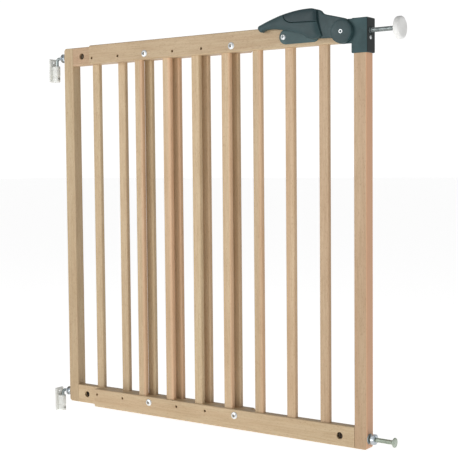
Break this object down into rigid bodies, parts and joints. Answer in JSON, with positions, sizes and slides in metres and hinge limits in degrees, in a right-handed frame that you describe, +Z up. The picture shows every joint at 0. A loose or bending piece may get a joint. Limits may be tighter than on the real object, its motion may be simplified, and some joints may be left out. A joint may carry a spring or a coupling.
{
  "type": "extending wooden safety gate",
  "caption": "Wooden doorway safety gate: two sliding barred panels, hook hinges on wall brackets, a lift lever latch with a thumb slide, a wall pad on a plunger and an adjustable stud.",
  "frame": {"origin": "middle of the lower wall bracket's back face, where it meets the hinge wall", "axes": "+X across the opening from the hinge wall to the latch wall, +Z up, -Y towards the side with the latch lever"},
  "size_m": [0.8105, 0.0556, 0.7808],
  "materials": {
    "beech": "satin lacquered beech",
    "latch_plastic": "moulded satin, slate grey",
    "button_plastic": "moulded satin, slate grey",
    "bracket_plastic": "moulded satin, white",
    "pad_rubber": "matt white",
    "zinc_steel": "zinc plated",
    "bright_screws": "bright zinc plated",
    "spring_steel": "drawn wire"
  },
  "bodies": {
    "wall_brackets": {"lower_wall_bracket": "bracket_plastic", "upper_wall_bracket": "bracket_plastic"},
    "rear_panel": {"left_stile": "beech", "rear_top_rail": "beech", "rear_bottom_rail": "beech", "rear_bar_1": "beech", "rear_bar_2": "beech", "rear_bar_3": "beech", "rear_bar_4": "beech", "rear_bar_5": "beech", "rear_bar_6": "beech", "lower_hinge_hook": "zinc_steel", "upper_hinge_hook": "zinc_steel", "hook_nuts": "zinc_steel", "hook_washers": "zinc_steel", "rear_barrel_nuts": "zinc_steel", "sleeve_nuts": "zinc_steel"},
    "front_panel": {"right_stile": "beech", "front_top_rail": "beech", "front_bottom_rail": "beech", "front_bar_1": "beech", "front_bar_2": "beech", "front_bar_3": "beech", "front_bar_4": "beech", "front_bar_5": "beech", "front_bar_6": "beech", "front_bar_7": "beech", "clamp_screws": "bright_screws", "end_cap": "latch_plastic", "catch_plate": "latch_plastic", "catch_screws": "bright_screws", "cap_screw": "bright_screws", "pivot_rivet": "bright_screws", "sleeve_bolt": "zinc_steel", "front_barrel_nut": "zinc_steel"},
    "latch_lever": {"lever_grip": "latch_plastic", "lever_cover": "latch_plastic", "cover_screws": "bright_screws", "crank_pin": "zinc_steel", "button_spring": "spring_steel"},
    "release_button": {"release_button": "button_plastic"},
    "plunger": {"plunger": "zinc_steel"},
    "wall_pad": {"pad_rod": "zinc_steel", "wall_pad": "pad_rubber"},
    "lower_stud": {"lower_stud": "zinc_steel", "stud_nut": "zinc_steel"}
  },
  "joints": [
    {"name": "gate_swing", "type": "hinge", "parent": "wall_brackets", "child": "rear_panel", "pos_m": [0.0125, 0, 0], "axis": [0, 0, 1], "range_deg": [-90, 90]},
    {"name": "width_slide", "type": "slide", "parent": "rear_panel", "child": "front_panel", "axis": [1, 0, 0], "range_m": [-0.0681, 0.2043]},
    {"name": "latch_lift", "type": "hinge", "parent": "front_panel", "child": "latch_lever", "pos_m": [0.7045, -0.03, 0.7135], "axis": [0, 1, 0], "range_deg": [0, 75]},
    {"name": "button_slide", "type": "slide", "parent": "latch_lever", "child": "release_button", "axis": [1, 0, 0], "range_m": [0, 0.006], "stiffness_N_per_m": 300, "springref_m": -0.004, "deforming": ["button_spring"]},
    {"name": "plunger_draw", "type": "slide", "parent": "front_panel", "child": "plunger", "axis": [-1, 0, 0], "range_m": [0, 0.01]},
    {"name": "pad_adjust", "type": "slide", "parent": "plunger", "child": "wall_pad", "axis": [1, 0, 0], "range_m": [-0.008, 0.008]},
    {"name": "stud_adjust", "type": "slide", "parent": "front_panel", "child": "lower_stud", "axis": [1, 0, 0], "range_m": [-0.0025, 0.012]}
  ],
  "couplings": [
    {"joint": "plunger_draw", "follows": "latch_lift", "m_per_rad": 0.007627}
  ]
}
